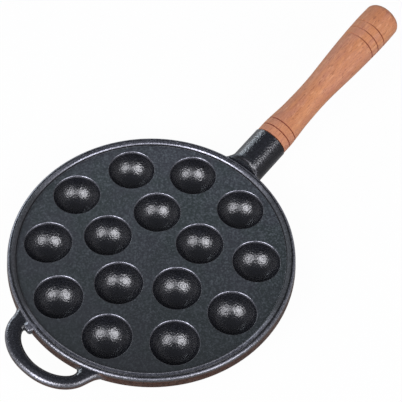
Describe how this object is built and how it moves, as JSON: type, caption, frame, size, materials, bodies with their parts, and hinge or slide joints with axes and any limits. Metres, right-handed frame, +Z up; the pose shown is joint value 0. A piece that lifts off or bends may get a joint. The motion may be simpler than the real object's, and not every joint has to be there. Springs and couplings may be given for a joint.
{
  "type": "takoyaki maker",
  "caption": "Round cast iron pan with half-round cups, a low rim, a helper loop and a bolted wooden handle, for frying batter balls on a hob.",
  "frame": {"origin": "under the middle of the object's bounding box, on the plane that the cups' feet stand on", "axes": "+X towards the end of the wooden handle, +Z up, the object is symmetrical about the XZ plane"},
  "size_m": [0.4736, 0.24, 0.0752],
  "materials": {
    "cast_iron": "sand-cast iron, oiled and baked black, with a brown seasoned outer wall",
    "handle_wood": "turned hardwood, oiled, with fine grain and darker turned grooves",
    "zinc_steel": "plain zinc-plated steel"
  },
  "bodies": {
    "root": {"cast_pan": "cast_iron", "wooden_handle": "handle_wood", "handle_bolt": "zinc_steel", "bolt_washer": "zinc_steel"}
  },
  "joints": []
}
